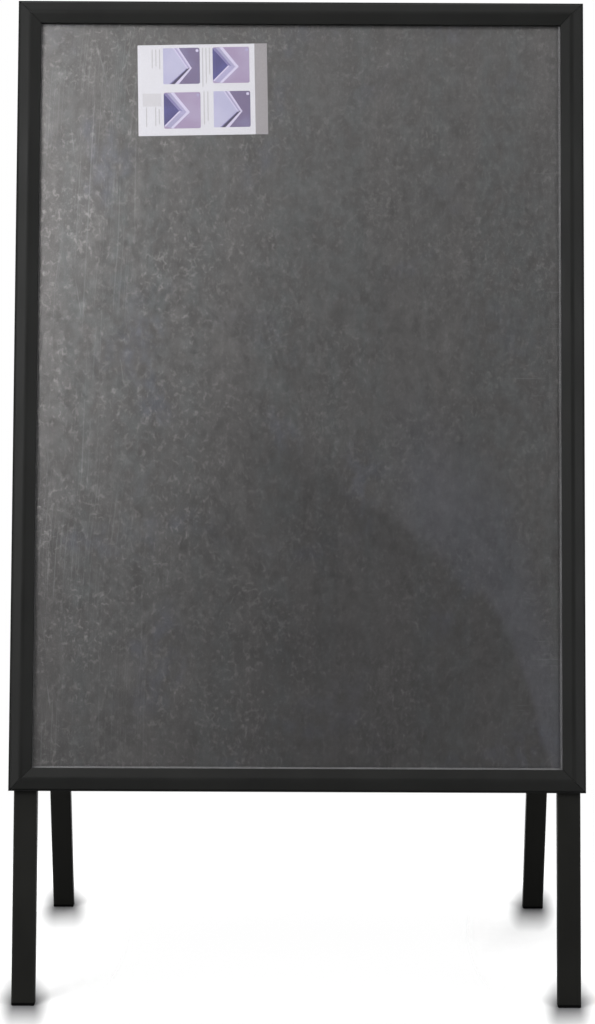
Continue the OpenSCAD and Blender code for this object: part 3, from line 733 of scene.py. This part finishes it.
# Distances from the stand's middle between which the light on the floor is shut off, and between
# which the floor fades away
SHUT_X, SHUT_Y = (0.42, 0.28), (0.42, 0.20)
FADE = (0.7, 1.15)
FLOOR_DARK, FLOOR_PALE = (0.90, 0.90, 0.90, 1), (0.92, 0.92, 0.92, 1)
FLOOR_SHADOW = (0.05, 0.05, 0.055, 1)
WALL_DARK, WALL_PALE = (0.125, 0.125, 0.13, 1), (0.158, 0.158, 0.158, 1)
# What the floor and wall are to light that bounces off them, and the painted shade that darkens the
# floor in mirroring steel
FLOOR_BOUNCE, WALL_BOUNCE = (0.45, 0.45, 0.45, 1), (0.95, 0.95, 0.95, 1)
FLOOR_MIRRORED_SHADE = (0.04, 0.04, 0.042, 1)


def stage_sheet(name, corners, material):
    mesh = bpy.data.meshes.new(name)
    mesh.from_pydata(corners, [], [(0, 1, 2, 3)])
    mesh.materials.append(material)
    obj = bpy.data.objects.new(name, mesh)
    bpy.context.scene.collection.objects.link(obj)


def from_feet(g, foot, foot_y):
    """How far a floor point lies outside the nearer foot of a side, in widths of its shadow."""
    # the shadows go with the side that the feet belong to
    seat = g.add("ShaderNodeTexCoord", object=nodes[foot])
    near = g.split(seat.outputs["Object"])
    y = g.minus(near["Y"], foot_y)
    x = g.minus(g.absolute(near["X"]), FOOT_X, g.times(y, SHADOW_SLANT))
    x = g.times(g.most(g.minus(g.absolute(x), SOLE_X), 0.0), 1 / SHADOW_X)
    y = g.times(g.most(g.minus(g.absolute(y), SOLE_Y), 0.0), 1 / SHADOW_Y)
    return g.length(x, y)


def floor():
    """A white floor with soft shadows at the feet, melting into the background away from them."""
    g = new_material("FloorWhite")
    place = g.split(g.coord)
    path = g.add("ShaderNodeLightPath").outputs
    away = g.math(
        "MINIMUM", from_feet(g, "front_foot_left", -FOOT_Y), from_feet(g, "rear_foot_left", FOOT_Y)
    )
    tone = g.mix(g.spread(g.noise(g.coord, 60)), FLOOR_DARK, FLOOR_PALE)
    tone = g.mark(tone, FLOOR_SHADOW, g.remap(away, 0.0, 1.0, 1.0, 0.0), 0.95)
    tone = g.mark(tone, FLOOR_BOUNCE, path["Is Diffuse Ray"])
    # the stand's sides shut most of the light off from the floor between them; painted shade
    # darkens the floor in mirroring steel, a little everywhere and most of all there
    under = g.times(
        g.remap(g.absolute(place["X"]), *SHUT_X, smooth=True),
        g.remap(g.absolute(place["Y"]), *SHUT_Y, smooth=True),
    )
    mirrored_shade = g.remap(under, 0.0, 1.0, 0.30, 0.85)
    tone = g.mark(tone, FLOOR_MIRRORED_SHADE, path["Is Glossy Ray"], mirrored_shade)
    seen = g.times(
        g.remap(away, 1.0, 4.5, 1.0, 0.05, smooth=True),
        g.remap(g.length(place["X"], place["Y"]), *FADE, 1.0, 0.0, smooth=True),
    )
    opacity = g.most(seen, g.minus(1.0, path["Is Camera Ray"]))
    g.finish(g.blend(opacity, g.simple("BsdfTransparent", WHITE), g.surface(tone, 0.9)))
    r = FLOOR_HALF
    stage_sheet("floor", [(-r, -r, 0), (r, -r, 0), (r, r, 0), (-r, r, 0)], g.owner)


def wall():
    """The grey wall of the room behind the camera, which the front's metal mirrors."""
    g = new_material("RoomWall")
    path = g.add("ShaderNodeLightPath").outputs
    tone = g.mix(g.spread(g.noise(g.coord, 0.6)), WALL_DARK, WALL_PALE)
    tone = g.mark(tone, WALL_BOUNCE, path["Is Diffuse Ray"])
    glow = g.simple("Emission", tone)
    g.finish(g.blend(path["Is Camera Ray"], glow, g.simple("BsdfTransparent", WHITE)))
    r, y, top = WALL_HALF, WALL_Y, WALL_TOP
    stage_sheet("room_wall", [(-r, y, 0), (r, y, 0), (r, y, top), (-r, y, top)], g.owner)


# ---------- light and camera

# name, place, target, width and height, power in watts
LAMPS = (
    ("Key", (-0.85, -1.15, 1.36), (-0.1, 0, 0.72), (0.6, 0.6), 10.5),
    ("Front", (0.2, -2.4, 3.3), (0, 0, 0.6), (1.2, 1.2), 6),
    ("SideLeft", (-2.5, -2.2, 1.5), (0, 0, 0.6), (1.4, 1.6), 53),
    ("SideRight", (2.5, -2.2, 1.5), (0, 0, 0.6), (1.4, 1.6), 48),
    ("Top", (0, 0, 3.6), (0, 0, 0), (3.0, 3.0), 32),
    ("Back", (0.6, 3.2, 2.3), (0, 0, 0.6), (2.0, 1.6), 60),
)
# the room's light by the height that it comes from, most from above
SKY = ((0.0, (0.45, 0.45, 0.455, 1)), (0.9, WHITE))

# The camera, fitted to the photograph; its focal length and centre are in pixels of that
IMAGE_W, IMAGE_H = 595, 1024
FOCAL, CENTRE_X, CENTRE_Y = 2448, 314.5, 600
SENSOR_W = 36.0
CAMERA_AT = (0.0124, -2.790, 0.745)
PITCH, YAW, ROLL = math.radians(6.768), math.radians(0.117), math.radians(0.270)


def lamp(name, at, target, size, power):
    light = bpy.data.lights.new(name, "AREA")
    light.shape = "RECTANGLE"
    light.size, light.size_y = size
    light.energy = power
    obj = bpy.data.objects.new(name, light)
    bpy.context.scene.collection.objects.link(obj)
    obj.location = at
    obj.rotation_euler = (Vector(target) - Vector(at)).to_track_quat("-Z", "Y").to_euler()


def sky():
    """Soft light from all round; the camera, gloss and glass see plain white."""
    world = bpy.data.worlds.new("Studio")
    bpy.context.scene.world = world
    g = Nodes(world, "World", "Generated")
    ramp = g.add("ShaderNodeValToRGB")
    g.put(ramp.inputs["Fac"], g.split(g.coord)["Z"])
    for stop, (position, colour) in zip(ramp.color_ramp.elements, SKY):
        stop.position, stop.color = position, colour
    path = g.add("ShaderNodeLightPath").outputs
    seen = g.most(path["Is Camera Ray"], path["Is Glossy Ray"], path["Is Transmission Ray"])
    room = g.simple("Background", ramp.outputs["Color"])
    g.finish(g.blend(seen, room, g.simple("Background", WHITE)))


def camera():
    cam = bpy.data.cameras.new("Camera")
    cam.sensor_fit = "HORIZONTAL"
    cam.sensor_width = SENSOR_W
    cam.lens = FOCAL / IMAGE_W * SENSOR_W
    cam.shift_x = -(CENTRE_X - IMAGE_W / 2) / IMAGE_W
    cam.shift_y = (CENTRE_Y - IMAGE_H / 2) / IMAGE_W
    cam.clip_end = 200
    obj = bpy.data.objects.new("Camera", cam)
    bpy.context.scene.collection.objects.link(obj)
    tilt = Matrix.Rotation(math.radians(90) - PITCH, 4, "X")
    turn = Matrix.Rotation(-YAW, 4, "Z") @ tilt @ Matrix.Rotation(ROLL, 4, "Z")
    obj.matrix_world = Matrix.Translation(CAMERA_AT) @ turn
    bpy.context.scene.camera = obj


floor()
wall()
sky()
for values in LAMPS:
    lamp(*values)
camera()
bpy.context.scene.view_settings.view_transform = "Standard"
